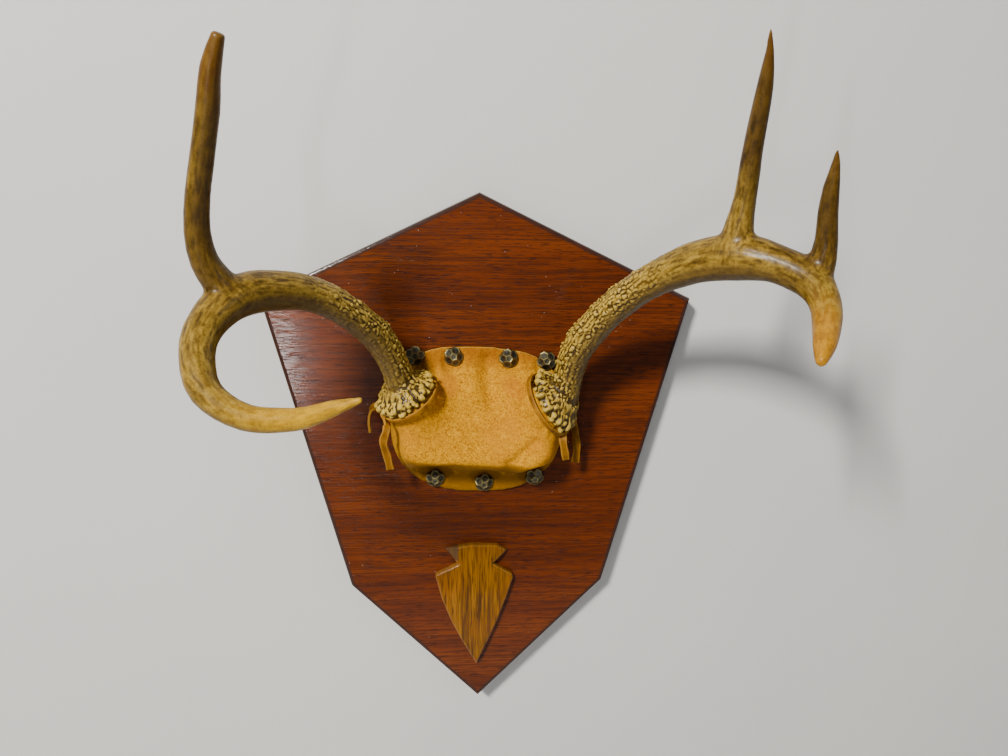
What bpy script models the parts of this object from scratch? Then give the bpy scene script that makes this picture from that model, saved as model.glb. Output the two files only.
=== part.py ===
"""Antler mount: a small whitetail rack on a shield-shaped board that hangs on a wall.

The board is upright, with its flat back in the plane Y = 0 and its face towards -Y, so
the wall is on the +Y side.  Z is up, and the origin is the middle of the back.  Left and
right are the viewer's.  Sizes below are in millimetres, and MM turns them into metres.
"""

import math

import bmesh
import bpy
from mathutils import Matrix, Vector

MM = 0.001
GAP = 0.3  # clearance between pieces that touch

# Board: a six-cornered shield, widest at its shoulders
BOARD_WIDTH = 268
BOARD_HEIGHT = 340
BOARD_THICKNESS = 16
SHOULDER_Z = 106
FOOT_WIDTH = 168
FOOT_Z = -85
BOARD_BEVEL = 3
BOARD_FACE = -BOARD_THICKNESS  # the Y of the board's face

# Keyhole hanger, let into the back near the top
HANGER_Z = 112
HANGER_REBATE = (26, 46)  # width and height
HANGER_REBATE_DEPTH = 3
POCKET = (13, 24)
POCKET_DEPTH = 11
PLATE = (24, 44)
PLATE_THICKNESS = 1.2
KEYHOLE_RADIUS = 4.75
KEYHOLE_DROP = 6  # the round hole lies this far below the plate's middle
KEYHOLE_SLOT = (5, 14)
THROUGH = 5  # how far a cutter runs past both faces
SCREW_RADIUS = 3
SCREW_HEAD = 1.0
SCREW_SPREAD = 17

# Leather cover over the skull plate, turned a little clockwise on the board
COVER_CENTRE = (-1, 28)  # X and Z
COVER_TURN = math.radians(-3)
COVER_HALF_WIDTH = 55
COVER_HALF_HEIGHT = 48
COVER_TOP_POWER = 3.0  # the outline's squareness above and below its middle
COVER_BOTTOM_POWER = 2.4
COVER_EDGE = 2.5  # thickness of the flat hem that is nailed down
FOREHEAD_TOP = 34  # where the forehead starts to rise, above the cover's centre
FOREHEAD_SLOPE = 0.57
BROW_FOOT = -37  # where the steep slope under the brow ends
BROW_SLOPE = 1.9
SIDE_SLOPE = 3.5
COVER_BLEND = 2.6  # how far the slopes round into each other
MOUND_HEIGHT = 14  # the rise round each pedicle
MOUND_RADIUS = 19
MOUND_INSET = 0.88  # the rise's middle, as a share of the burr's distance from the cover's
MOUND_DROP = 10  # and this far below the burr
COVER_SIDES = 56
COVER_RINGS = 12

# Burrs: the beaded rim at the foot of each antler, as centre, axis and size
LEFT_BURR = (Vector((-45.5, -38, 51.2)), Vector((-0.48, -0.33, 0.81)).normalized(), 1.0)
RIGHT_BURR = (Vector((46, -38.5, 46.4)), Vector((0.75, -0.38, 0.54)).normalized(), 1.08)
BURR_BEADS = 18
BURR_BOTTOM = -3  # along the axis, from the burr's centre
BURR_PROFILE = (  # height along the axis, radius, depth of the scallops between beads
    (BURR_BOTTOM, 15.0, 0.0),
    (-1.8, 18.4, 0.6),
    (0.3, 19.4, 1.1),
    (2.6, 18.2, 1.0),
    (5.0, 14.2, 0.7),
    (9.5, 10.2, 0.0),
)
BURR_ROOM = 21.5  # the radius kept clear of leather above the burr's underside
COLLAR_RADIUS = 16.5  # the leather gathered round the pedicle
COLLAR_ROOT = (-22, 14)  # where it starts inside the cover, and its radius there
COLLAR_WAIST = -11
COLLAR_SIDES = 28

# Antlers: points along each branch, with the branch's radius there
LEFT_BEAM = (
    (-45.5, -38, 51.2, 10),
    (-48, -40, 56.5, 9.6),
    (-50, -45, 67.2, 8.7),
    (-59, -58, 88.5, 9.2),
    (-75, -76, 106, 8.9),
    (-93, -92, 117, 9.5),
    (-117, -117, 118.5, 10.6),
    (-130, -132, 108, 9.2),
    (-132, -146, 94, 7.9),
    (-125, -159, 80, 7.2),
    (-107, -170, 72, 5.9),
    (-84, -179, 73, 5.1),
    (-68, -185, 79, 3.6),
    (-55, -190, 84, 1.3),
)
LEFT_G2 = (
    (-121, -121, 118, 7.5),
    (-127, -125, 126, 7.8),
    (-131, -129, 135, 6.7),
    (-132, -133, 148, 6.0),
    (-129, -139, 164, 5.5),
    (-124, -145, 181, 5.3),
    (-119, -151, 198, 5.1),
    (-115, -157, 214, 4.4),
    (-110, -161, 226, 2.8),
)
RIGHT_BEAM = (
    (46, -38.5, 46.4, 10),
    (49.9, -40.5, 49.4, 9.8),
    (52.5, -45.5, 65.5, 9.0),
    (56.7, -56, 83.5, 9.6),
    (68, -71, 103, 9.3),
    (85, -90, 122, 9.3),
    (105, -110, 134.5, 10.8),
    (121, -124, 138, 11.8),
    (134, -136, 136, 9.5),
    (147, -148, 129, 8.8),
    (149, -159, 120, 7.3),
    (145, -171, 111, 6.2),
    (138.5, -183, 104, 5.0),
    (132.5, -193, 98.5, 2.2),
)
RIGHT_G2 = (
    (119.5, -123, 139, 8.5),
    (119.5, -124.5, 149, 8.0),
    (120, -127, 159, 6.1),
    (120, -131, 171, 5.4),
    (119, -137, 186, 4.9),
    (118, -144, 200, 4.4),
    (117, -151, 213.5, 3.6),
    (115, -158, 226, 2.0),
    (113, -162, 234, 0.8),
)
RIGHT_G3 = (
    (150, -148, 128, 6.5),
    (151.5, -148.5, 138, 6.6),
    (151, -151, 148, 5.1),
    (148.5, -155, 159, 4.6),
    (146.5, -160, 170.5, 3.6),
    (145.5, -164, 180, 2.1),
    (144, -167, 186, 0.8),
)
BEAM_STEP = 6  # spacing of the rings along a branch
TINE_STEP = 7
BEAM_RESOLUTION = 5
TINE_RESOLUTION = 4
SQUARE_END = 1  # the last bit of a length that is parted, left straight
LEFT_FORK_END = Vector((-131, -135, 105))  # where each fork ends and the next length starts
RIGHT_FORK_END = Vector((136, -138, 135))
RIGHT_SECOND_FORK_END = Vector((149, -157, 122))

# Nails: X and Z on the board, and how far each head leans down or up from square
NAIL_RADIUS = 6.35
NAIL_HEIGHT = 4
NAIL_SEAT = 3.0  # the heads sit this far above the board's face
NAIL_SIDES = 10
NAIL_DOME = (0, 28, 56, 80)  # the facets' rings, in degrees up the dome
TOP_NAILS = ((-40, 70.5, -4), (-16, 70, -4), (18.5, 68.7, -4), (42.3, 67, -4))
BOTTOM_NAILS = ((-28, -9.6, 12), (3.4, -13, 8), (36.3, -9.6, 14))

# Arrowhead: the right-hand outline down to the tip, then the left-hand one back up
ARROW_THICKNESS = 5
ARROW_BEVEL = 1
ARROW_OUTLINE = (
    (-12.2, -56.4),
    (-4, -55.4),
    (12.4, -56.2),
    (18.8, -60),
    (9.6, -69),
    (22.4, -76.8),
    (23.1, -79.2),
    (18.5, -94.3),
    (12.2, -111.7),
    (5.9, -126.4),
    (-1.3, -142),
    (-11, -124.3),
    (-18, -109.9),
    (-24.3, -93.7),
    (-28.3, -77.8),
    (-28.3, -76),
    (-13.4, -68.8),
    (-22.2, -58.6),
)

# Laces: a flat thong tied under each burr, with both ends hanging on the outer side
LACE_WIDTH = 5
LACE_THICKNESS = 1.5
LACE_SETBACK = 3.1  # from the burr's underside to the lace's middle
LACE_OVERLAP = math.radians(20)  # how far each end goes on past the place where they cross
LACE_RISE = LACE_THICKNESS + GAP  # the last end passes this far outside the first
LACE_TURN_STEPS = 20
LACE_STEP = 4
ALONG_X = Vector((1, 0, 0))
ALONG_Y = Vector((0, 1, 0))


def clear_scene():
    for thing in list(bpy.data.objects):
        bpy.data.objects.remove(thing, do_unlink=True)


def material(name, colour, roughness, metallic=0.0):
    made = bpy.data.materials.new(name)
    made.use_nodes = True
    shader = made.node_tree.nodes["Principled BSDF"]
    shader.inputs["Base Color"].default_value = (*colour, 1)
    shader.inputs["Roughness"].default_value = roughness
    shader.inputs["Metallic"].default_value = metallic
    return made


def add_piece(name, shape, surface, smooth_angle=None):
    """Makes a closed bmesh, drawn in millimetres, into an object."""
    bmesh.ops.remove_doubles(shape, verts=shape.verts, dist=0.001)
    bmesh.ops.recalc_face_normals(shape, faces=shape.faces)
    bmesh.ops.scale(shape, vec=(MM, MM, MM), verts=shape.verts)
    mesh = bpy.data.meshes.new(name)
    shape.to_mesh(mesh)
    shape.free()
    if smooth_angle is not None:
        mesh.shade_smooth()
        mesh.set_sharp_from_angle(angle=math.radians(smooth_angle))
    piece = bpy.data.objects.new(name, mesh)
    bpy.context.scene.collection.objects.link(piece)
    mesh.materials.append(surface)
    return piece


def join_or_cut(piece, operation, tool):
    """Unites a piece with a tool shape, or cuts it with one; the tool is only a guide."""
    tool.hide_render = True
    tool.display_type = "WIRE"
    change = piece.modifiers.new(tool.name, "BOOLEAN")
    change.operation = operation
    change.solver = "EXACT"
    change.object = tool


def block(low, high):
    """A box between two corners."""
    shape = bmesh.new()
    bmesh.ops.create_cube(shape, size=1)
    size = [b - a for a, b in zip(low, high)]
    bmesh.ops.scale(shape, vec=size, verts=shape.verts)
    middle = [(a + b) / 2 for a, b in zip(low, high)]
    bmesh.ops.translate(shape, vec=middle, verts=shape.verts)
    return shape


def prism(outline, near, far):
    """An outline in X and Z, drawn out from Y = near to Y = far."""
    shape = bmesh.new()
    corners = [shape.verts.new((x, near, z)) for x, z in outline]
    face = shape.faces.new(corners)
    drawn = bmesh.ops.extrude_face_region(shape, geom=[face])
    moved = [v for v in drawn["geom"] if isinstance(v, bmesh.types.BMVert)]
    bmesh.ops.translate(shape, vec=(0, far - near, 0), verts=moved)
    bmesh.ops.recalc_face_normals(shape, faces=shape.faces)
    return shape


def bevel_rim(shape, y, width, segments):
    """Bevels the edges that lie in the plane at this Y."""
    rim = [e for e in shape.edges if all(abs(v.co.y - y) < 0.01 for v in e.verts)]
    bmesh.ops.bevel(
        shape, geom=rim, offset=width, segments=segments, profile=0.6, affect="EDGES"
    )


def turned(profile, sides, centre, axis, lobes=0):
    """A turned solid from (height, radius, scallop) rows, standing on an axis."""
    shape = bmesh.new()
    rings = []
    for height, radius, scallop in profile:
        ring = []
        for i in range(sides):
            angle = math.tau * i / sides
            reach = radius + scallop * math.cos(lobes * angle)
            place = (reach * math.cos(angle), reach * math.sin(angle), height)
            ring.append(shape.verts.new(place))
        rings.append(ring)
    for low, high in zip(rings, rings[1:]):
        for i in range(sides):
            j = (i + 1) % sides
            shape.faces.new((low[i], low[j], high[j], high[i]))
    shape.faces.new(reversed(rings[0]))
    shape.faces.new(rings[-1])
    upright = axis.to_track_quat("Z", "Y").to_matrix().to_4x4()
    bmesh.ops.transform(shape, matrix=Matrix.Translation(centre) @ upright, verts=shape.verts)
    return shape


def smooth_path(points, step):
    """Samples about a step apart on one smooth curve through points of any size."""
    rows = [Vector(p) for p in points]
    ends = [2 * rows[0] - rows[1], *rows, 2 * rows[-1] - rows[-2]]
    samples = []
    for a, b, c, d in zip(ends, ends[1:], ends[2:], ends[3:]):
        count = max(1, round((c - b).length / step))
        for i in range(count):
            t = i / count
            bend = (2 * a - 5 * b + 4 * c - d) * t**2 + (3 * b - a - 3 * c + d) * t**3
            samples.append((2 * b + (c - a) * t + bend) / 2)
    samples.append(rows[-1])
    return samples


def branch(name, samples, surface, resolution, extra=0.0):
    """A round branch along samples that hold a place and a radius."""
    curve = bpy.data.curves.new(name, "CURVE")
    curve.dimensions = "3D"
    curve.bevel_depth = MM
    curve.bevel_resolution = resolution
    curve.use_fill_caps = True
    spline = curve.splines.new("POLY")
    spline.points.add(len(samples) - 1)
    for point, sample in zip(spline.points, samples):
        point.co = (*(sample.xyz * MM), 1)
        point.radius = sample.w + extra
    drawn = bpy.data.objects.new(name, curve)
    mesh = bpy.data.meshes.new_from_object(drawn)
    bpy.data.objects.remove(drawn)
    bpy.data.curves.remove(curve)
    shape = bmesh.new()
    shape.from_mesh(mesh)
    bpy.data.meshes.remove(mesh)
    bmesh.ops.scale(shape, vec=(1 / MM, 1 / MM, 1 / MM), verts=shape.verts)
    return add_piece(name, shape, surface, smooth_angle=40)


def strap(name, route, surface):
    """A flat strap along (place, direction of its width) pairs."""
    shape = bmesh.new()
    rings = []
    for i, (place, across) in enumerate(route):
        ahead = route[min(i + 1, len(route) - 1)][0] - route[max(i - 1, 0)][0]
        ahead.normalize()
        half_width = (across - across.dot(ahead) * ahead).normalized() * LACE_WIDTH / 2
        half_depth = ahead.cross(half_width).normalized() * LACE_THICKNESS / 2
        corners = ((1, 1), (-1, 1), (-1, -1), (1, -1))
        ring = [shape.verts.new(place + a * half_width + b * half_depth) for a, b in corners]
        rings.append(ring)
    for near, far in zip(rings, rings[1:]):
        for i in range(4):
            j = (i + 1) % 4
            shape.faces.new((near[i], near[j], far[j], far[i]))
    shape.faces.new(reversed(rings[0]))
    shape.faces.new(rings[-1])
    return add_piece(name, shape, surface)


def board(wood):
    half = BOARD_WIDTH / 2
    foot = FOOT_WIDTH / 2
    top = BOARD_HEIGHT / 2
    outline = (
        (0, top),
        (half, SHOULDER_Z),
        (foot, FOOT_Z),
        (0, -top),
        (-foot, FOOT_Z),
        (-half, SHOULDER_Z),
    )
    shape = prism(outline, 0, BOARD_FACE)
    bevel_rim(shape, BOARD_FACE, BOARD_BEVEL, 2)
    shield = add_piece("board", shape, wood)
    for name, size, depth in (
        ("rebate_cutter", HANGER_REBATE, HANGER_REBATE_DEPTH),
        ("pocket_cutter", POCKET, POCKET_DEPTH),
    ):
        width, height = size
        low = (-width / 2, -depth, HANGER_Z - height / 2)
        high = (width / 2, THROUGH, HANGER_Z + height / 2)
        join_or_cut(shield, "DIFFERENCE", add_piece(name, block(low, high), wood))


def hanger(steel):
    width, height = PLATE
    inner = -HANGER_REBATE_DEPTH + GAP
    outer = inner + PLATE_THICKNESS
    low = (-width / 2, inner, HANGER_Z - height / 2)
    high = (width / 2, outer, HANGER_Z + height / 2)
    plate = add_piece("hanger_plate", block(low, high), steel)
    hole_z = HANGER_Z - KEYHOLE_DROP
    profile = ((-THROUGH, KEYHOLE_RADIUS, 0), (THROUGH, KEYHOLE_RADIUS, 0))
    hole = turned(profile, 20, Vector((0, inner, hole_z)), ALONG_Y)
    join_or_cut(plate, "DIFFERENCE", add_piece("keyhole_cutter", hole, steel))
    slot_width, slot_height = KEYHOLE_SLOT
    slot = block(
        (-slot_width / 2, inner - THROUGH, hole_z),
        (slot_width / 2, outer + THROUGH, hole_z + slot_height),
    )
    join_or_cut(plate, "DIFFERENCE", add_piece("slot_cutter", slot, steel))
    for name, side in (("hanger_screw_upper", 1), ("hanger_screw_lower", -1)):
        seat = Vector((0, outer + GAP, HANGER_Z + side * SCREW_SPREAD))
        head = ((0, SCREW_RADIUS, 0), (SCREW_HEAD * 0.5, SCREW_RADIUS * 0.93, 0))
        crown = (SCREW_HEAD, SCREW_RADIUS * 0.55, 0)
        add_piece(name, turned((*head, crown), 16, seat, ALONG_Y), steel, smooth_angle=50)


def cover_outline(angle):
    """How far the cover reaches from its centre, as a squared-off oval."""
    across = abs(math.cos(angle)) / COVER_HALF_WIDTH
    up = abs(math.sin(angle)) / COVER_HALF_HEIGHT
    power = COVER_TOP_POWER if math.sin(angle) > 0 else COVER_BOTTOM_POWER
    return (across**power + up**power) ** (-1 / power)


def soft_limit(values, sign):
    """The least of the values for a sign of -1, or the greatest for 1, rounded over."""
    total = sum(math.exp(sign * v / COVER_BLEND) for v in values)
    return sign * COVER_BLEND * math.log(total)


def cover_height(across, up, share):
    """The leather's height over the board's face, at a share of the way to its edge."""
    forehead = COVER_EDGE + (FOREHEAD_TOP - up) * FOREHEAD_SLOPE
    for burr, _, _ in (LEFT_BURR, RIGHT_BURR):
        drop = burr.z - MOUND_DROP - COVER_CENTRE[1]
        reach = math.hypot(across - MOUND_INSET * burr.x, up - drop)
        forehead += MOUND_HEIGHT * math.exp(-((reach / MOUND_RADIUS) ** 2))
    brow = COVER_EDGE + (up - BROW_FOOT) * BROW_SLOPE
    side = COVER_EDGE + (1 - share) * COVER_HALF_WIDTH * SIDE_SLOPE
    dome = soft_limit((forehead, brow, side), -1)
    return soft_limit((COVER_EDGE, dome), 1)


def leather_cover(leather):
    shape = bmesh.new()
    back = BOARD_FACE - GAP
    turn = Matrix.Rotation(-COVER_TURN, 3, "Y")
    middle = Vector((COVER_CENTRE[0], 0, COVER_CENTRE[1]))

    def place(angle, share, height):
        reach = cover_outline(angle) * share
        spot = turn @ Vector((reach * math.cos(angle), 0, reach * math.sin(angle)))
        return middle + spot + Vector((0, back - height, 0))

    angles = [math.tau * i / COVER_SIDES for i in range(COVER_SIDES)]
    rings = [[shape.verts.new(place(a, 1, 0)) for a in angles]]
    for k in range(COVER_RINGS):
        share = 1 - k / COVER_RINGS
        ring = []
        for a in angles:
            reach = cover_outline(a) * share
            height = cover_height(reach * math.cos(a), reach * math.sin(a), share)
            ring.append(shape.verts.new(place(a, share, height)))
        rings.append(ring)
    for low, high in zip(rings, rings[1:]):
        for i in range(COVER_SIDES):
            j = (i + 1) % COVER_SIDES
            shape.faces.new((low[i], low[j], high[j], high[i]))
    shape.faces.new(reversed(rings[0]))
    crown = shape.verts.new(place(0, 0, cover_height(0, 0, 0)))
    for i in range(COVER_SIDES):
        shape.faces.new((rings[-1][i], rings[-1][(i + 1) % COVER_SIDES], crown))
    cover = add_piece("leather_cover", shape, leather, smooth_angle=40)
    fit_collar(cover, "left", LEFT_BURR, leather)
    fit_collar(cover, "right", RIGHT_BURR, leather)
    for i, nail in enumerate((*TOP_NAILS, *BOTTOM_NAILS)):
        seat, axis = nail_seat(nail)
        profile = ((-GAP, NAIL_RADIUS + GAP, 0), (4 * NAIL_HEIGHT, NAIL_RADIUS + GAP, 0))
        seat_cut = turned(profile, 2 * NAIL_SIDES, seat, axis)
        join_or_cut(cover, "DIFFERENCE", add_piece(f"nail_cutter_{i}", seat_cut, leather))
    return cover


def fit_collar(cover, side, burr, leather):
    """Clears room for the burr and the lace, then stands the collar in it."""
    centre, axis, size = burr
    under = BURR_BOTTOM - GAP
    burr_room = ((under, BURR_ROOM * size, 0), (COLLAR_RADIUS, BURR_ROOM * size, 0))
    lace_room_radius = COLLAR_RADIUS * size + 2 * LACE_THICKNESS + 7 * GAP
    lace_low = BURR_BOTTOM - LACE_SETBACK - LACE_WIDTH / 2 - 2 * GAP
    lace_room = ((lace_low, lace_room_radius, 0), (under + 1, lace_room_radius, 0))
    root_height, root_radius = COLLAR_ROOT
    collar = (
        (root_height, root_radius, 0),
        (COLLAR_WAIST, COLLAR_RADIUS * size, 0),
        (under, COLLAR_RADIUS * size, 0),
    )
    for name, profile, operation in (
        ("burr_cutter", burr_room, "DIFFERENCE"),
        ("lace_cutter", lace_room, "DIFFERENCE"),
        ("collar", collar, "UNION"),
    ):
        shape = turned(profile, COLLAR_SIDES, centre, axis)
        tool = add_piece(f"{name}_{side}", shape, leather)
        join_or_cut(cover, operation, tool)


def nail_seat(nail):
    x, z, lean = nail
    axis = Matrix.Rotation(math.radians(lean), 3, "X") @ Vector((0, -1, 0))
    return Vector((x, BOARD_FACE - NAIL_SEAT, z)), axis


def nails(bronze):
    dome = [
        (NAIL_HEIGHT * math.sin(a), NAIL_RADIUS * math.cos(a), 0)
        for a in (math.radians(d) for d in NAIL_DOME)
    ]
    for row, places in (("top", TOP_NAILS), ("bottom", BOTTOM_NAILS)):
        for i, nail in enumerate(places, start=1):
            seat, axis = nail_seat(nail)
            head = turned(dome, NAIL_SIDES, seat, axis)
            add_piece(f"nail_{row}_{i}", head, bronze)


def arrowhead(oak):
    back = BOARD_FACE - GAP
    shape = prism(ARROW_OUTLINE, back, back - ARROW_THICKNESS)
    bevel_rim(shape, back - ARROW_THICKNESS, ARROW_BEVEL, 1)
    add_piece("arrowhead", shape, oak)


def nearest(samples, place):
    return min(range(len(samples)), key=lambda i: (samples[i].xyz - place).length)


def per_length(before, after):
    """How a sample's place and radius change for each unit of length between two samples."""
    change = after - before
    return change / change.xyz.length


def beam_lengths(samples, cuts):
    """Parts a beam's samples at the given places, with a fine square gap between lengths."""
    marks = [nearest(samples, place) for place in cuts]
    starts = [0, *marks]
    ends = [*marks, len(samples) - 1]
    for start, end in zip(starts, ends):
        length = samples[start : end + 1]
        if start:
            along = per_length(samples[start - 1], samples[start + 1])
            length[:1] = [samples[start] + along * shift for shift in (GAP / 2, SQUARE_END)]
        if end < len(samples) - 1:
            along = per_length(samples[end - 1], samples[end + 1])
            length[-1:] = [samples[end] - along * shift for shift in (SQUARE_END, GAP / 2)]
        yield length


def antler(side, burr, beam, cuts, names, tines, bone):
    """One antler: its beam in lengths, with a burr at the foot, and its tines."""
    samples = smooth_path(beam, BEAM_STEP)
    lengths = beam_lengths(samples, cuts)
    pieces = [
        branch(f"{side}_{name}", length, bone, BEAM_RESOLUTION)
        for name, length in zip(names, lengths)
    ]
    centre, axis, size = burr
    profile = [(height, radius * size, scallop) for height, radius, scallop in BURR_PROFILE]
    rim = turned(profile, 2 * BURR_BEADS, centre, axis, BURR_BEADS)
    join_or_cut(pieces[0], "UNION", add_piece(f"{side}_burr", rim, bone))
    for name, points in tines:
        tine = branch(f"{side}_{name}", smooth_path(points, TINE_STEP), bone, TINE_RESOLUTION)
        room = branch(f"{side}_{name}_cutter", samples, bone, BEAM_RESOLUTION, GAP)
        join_or_cut(tine, "DIFFERENCE", room)


def lace(name, burr, outward, first_end, last_end, leather):
    """One thong: up its first end, round the collar under the burr, down its last end."""
    centre, axis, size = burr
    hub = centre + axis * (BURR_BOTTOM - LACE_SETBACK)
    out = (outward - outward.dot(axis) * axis).normalized()
    aside = axis.cross(out)
    radius = COLLAR_RADIUS * size + 2 * GAP + LACE_THICKNESS / 2
    turn = []
    for i in range(LACE_TURN_STEPS + 1):
        share = i / LACE_TURN_STEPS
        angle = share * (math.tau + 2 * LACE_OVERLAP) - LACE_OVERLAP
        reach = radius + share * LACE_RISE
        spot = hub + reach * (math.cos(angle) * out + math.sin(angle) * aside)
        turn.append((spot, axis))
    knots = [*first_end, *turn, *last_end]
    both = smooth_path([(*place, *across) for place, across in knots], LACE_STEP)
    route = [(Vector(s[:3]), Vector(s[3:])) for s in both]
    strap(name, route, leather)


def laces(leather):
    left_back_end = [
        (Vector((-67.5, -30.5, 25)), ALONG_Y),
        (Vector((-68, -30.5, 32)), ALONG_Y),
        (Vector((-67, -29.5, 37.5)), ALONG_Y),
        (Vector((-64, -27.8, 40.3)), ALONG_Y + LEFT_BURR[1]),
        (Vector((-61.2, -26.9, 41)), LEFT_BURR[1]),
    ]
    left_front_end = [
        (Vector((-55.4, -47.2, 34.2)), LEFT_BURR[1] - ALONG_X),
        (Vector((-56.6, -49.2, 30)), -ALONG_X),
        (Vector((-58.4, -47.5, 23)), -ALONG_X),
        (Vector((-56.4, -45, 13.5)), -ALONG_X),
        (Vector((-54.8, -44, 5)), -ALONG_X),
    ]
    right_front_end = [
        (Vector((52.8, -41.5, 9)), ALONG_X),
        (Vector((51.5, -44.3, 15)), ALONG_X),
        (Vector((50.2, -45.6, 21)), ALONG_X),
        (Vector((50, -44, 25.2)), ALONG_X + RIGHT_BURR[1]),
    ]
    right_back_end = [
        (Vector((58, -23.4, 31.2)), RIGHT_BURR[1]),
        (Vector((60, -20.6, 27)), ALONG_X),
        (Vector((61.2, -23, 21)), ALONG_X),
        (Vector((61.8, -27.5, 12.5)), ALONG_X),
        (Vector((60.8, -29, 3)), ALONG_X),
    ]
    lace("lace_left", LEFT_BURR, Vector((-1, 0, -0.6)), left_back_end, left_front_end, leather)
    lace("lace_right", RIGHT_BURR, Vector((1, 0, -0.9)), right_front_end, right_back_end, leather)


def main():
    clear_scene()
    mahogany = material("mahogany", (0.16, 0.045, 0.018), 0.35)
    steel = material("zinc_steel", (0.55, 0.55, 0.53), 0.4, metallic=1.0)
    suede = material("suede", (0.55, 0.28, 0.07), 0.9)
    bronze = material("antique_bronze", (0.05, 0.045, 0.035), 0.4, metallic=1.0)
    oak = material("oak", (0.38, 0.18, 0.04), 0.3)
    bone = material("antler", (0.24, 0.17, 0.06), 0.45)
    board(mahogany)
    hanger(steel)
    leather_cover(suede)
    nails(bronze)
    arrowhead(oak)
    left_names = ("beam_base", "beam_tip")
    antler("left", LEFT_BURR, LEFT_BEAM, [LEFT_FORK_END], left_names, [("g2_tine", LEFT_G2)], bone)
    antler(
        "right",
        RIGHT_BURR,
        RIGHT_BEAM,
        [RIGHT_FORK_END, RIGHT_SECOND_FORK_END],
        ("beam_base", "beam_middle", "beam_tip"),
        [("g2_tine", RIGHT_G2), ("g3_tine", RIGHT_G3)],
        bone,
    )
    laces(suede)


main()
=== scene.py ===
"""The looks of an antler mount: varnished antlers over a suede cover on a mahogany shield.

The board hangs on a wall, with its flat back in the plane Y = 0 and its face towards -Y.
Z is up, and left and right are the viewer's.  Lengths are in millimetres unless a name or
a comment says metres, and MM turns them into metres.
"""

import math
from contextlib import contextmanager

import bpy
import numpy as np
from mathutils import Matrix, Vector, noise
from mathutils.kdtree import KDTree


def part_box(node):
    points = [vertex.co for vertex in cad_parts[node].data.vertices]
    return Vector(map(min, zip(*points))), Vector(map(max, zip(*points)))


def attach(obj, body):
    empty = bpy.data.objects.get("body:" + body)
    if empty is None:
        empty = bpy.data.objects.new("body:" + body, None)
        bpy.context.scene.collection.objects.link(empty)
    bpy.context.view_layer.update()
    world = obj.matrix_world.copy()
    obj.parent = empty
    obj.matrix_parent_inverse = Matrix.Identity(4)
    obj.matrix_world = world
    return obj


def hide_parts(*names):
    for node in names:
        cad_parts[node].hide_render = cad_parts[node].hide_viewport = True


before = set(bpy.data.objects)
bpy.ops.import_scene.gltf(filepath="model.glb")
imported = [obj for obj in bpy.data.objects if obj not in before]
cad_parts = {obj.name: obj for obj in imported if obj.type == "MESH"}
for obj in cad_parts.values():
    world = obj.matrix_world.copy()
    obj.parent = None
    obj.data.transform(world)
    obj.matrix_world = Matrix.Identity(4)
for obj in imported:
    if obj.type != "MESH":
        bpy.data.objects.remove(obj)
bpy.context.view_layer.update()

MM = 0.001
ALONG_X = Vector((1, 0, 0))
ALONG_Y = Vector((0, 1, 0))
BOARD_FACE = (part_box("board")[0] / MM).y

# Camera: lens in millimetres, place in metres, turns in degrees
LENS = 27.71
SENSOR_WIDTH = 36
EYE = (-0.02306, -0.49582, 0.15773)
HEADING = 4.6406  # to the right of straight at the wall
TILT = 12.0  # downwards
ROLL = 0.6336  # anticlockwise

# Backdrop: a wall that sweeps down to a floor, in metres
WALL_GAP = 0.0008  # between the board's back and the wall
WALL_TOP = 2.0
WALL_HALF_WIDTH = 2.4
SWEEP_RADIUS = 0.3
SWEEP_STEPS = 16
FLOOR_HEIGHT = -0.75
FLOOR_REACH = 1.3

# Half the board's outline as x and z, and how far inside it the wall is open
BOARD_HALF = ((0, 170), (134, 106), (84, -85), (0, -170))
OPENING_INSET = 3

# Burrs: the beaded rim at the foot of each antler, as centre, axis and size
LEFT_BURR = (Vector((-45.5, -38, 51.2)), Vector((-0.48, -0.33, 0.81)).normalized(), 1.0)
RIGHT_BURR = (Vector((46, -38.5, 46.4)), Vector((0.75, -0.38, 0.54)).normalized(), 1.08)
BURR_BOTTOM = -3
COLLAR_RADIUS = 16.5
RIM_HEIGHT = 8  # the rim's reach up and down the axis
CORE_RADIUS = 11.5  # the rim is drawn in beyond this radius, to leave room for its beads
CORE_SHARE = 0.74  # how much of its width beyond that radius the rim keeps
BEAD_ROWS = (  # radius, height, number, and a bead's half sizes outward, round and along
    (14.8, -1.6, 21, (4.7, 2.5, 2.0)),
    (15.4, 0.6, 23, (4.6, 2.3, 2.7)),
    (12.6, 3.3, 19, (4.6, 2.1, 2.1)),
    (10.6, 6.2, 15, (1.7, 1.6, 3.2)),
)

# Antlers: a line down the middle of each branch, which the grain follows
LEFT_LINES = (
    (
        (-45.5, -38, 51.2), (-50, -45, 67.2), (-75, -76, 106), (-117, -117, 118.5),
        (-132, -146, 94), (-107, -170, 72), (-68, -185, 79), (-55, -190, 84),
    ),
    (
        (-121, -121, 118), (-131, -129, 135), (-129, -139, 164),
        (-119, -151, 198), (-110, -161, 226),
    ),
)
RIGHT_LINES = (
    (
        (46, -38.5, 46.4), (52.5, -45.5, 65.5), (68, -71, 103), (105, -110, 134.5),
        (134, -136, 136), (149, -159, 120), (132.5, -193, 98.5),
    ),
    ((119.5, -123, 139), (120, -131, 171), (118, -144, 200), (113, -162, 234)),
    ((150, -148, 128), (151, -151, 148), (146.5, -160, 170.5), (144, -167, 186)),
)
LINE_STEP = 2
FORK_REACH = 15  # how far round a fork the crotch is filled and smoothed
FORK_ROUNDS = 70
SKIN_VOXEL = 0.8  # before the beads are added
FINE_VOXEL = 0.56  # with the beads

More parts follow.
